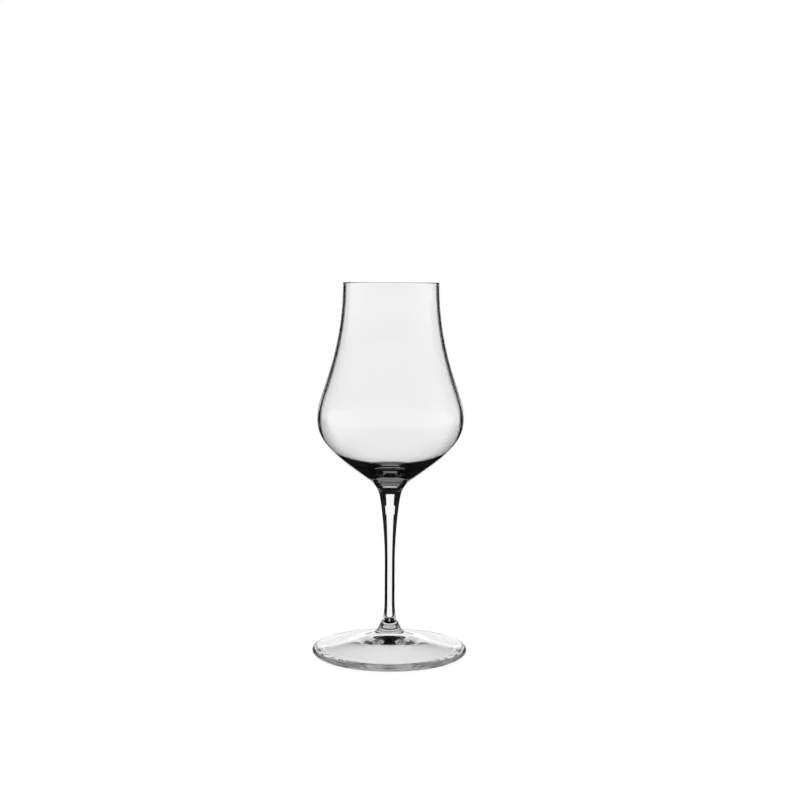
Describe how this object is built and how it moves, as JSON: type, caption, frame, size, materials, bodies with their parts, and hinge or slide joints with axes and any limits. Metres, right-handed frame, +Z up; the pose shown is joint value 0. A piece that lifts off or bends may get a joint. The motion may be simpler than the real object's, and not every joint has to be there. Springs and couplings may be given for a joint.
{
  "type": "snifter glass",
  "caption": "Stemmed snifter glass: a clear tulip-shaped bowl narrowing to an upright rim, on a slim drawn stem and a round disc foot.",
  "frame": {"origin": "middle of the ring that the foot stands on, on the glass's axis at table height", "axes": "+Z up along the axis of the glass; +X and +Y are level and alike, because every piece is round"},
  "size_m": [0.0686, 0.0686, 0.165],
  "materials": {
    "clear_glass": "clear colourless crystal glass, fire polished, smooth and glossy all over"
  },
  "bodies": {
    "root": {"bowl": "clear_glass", "stem": "clear_glass", "foot": "clear_glass"}
  },
  "joints": []
}
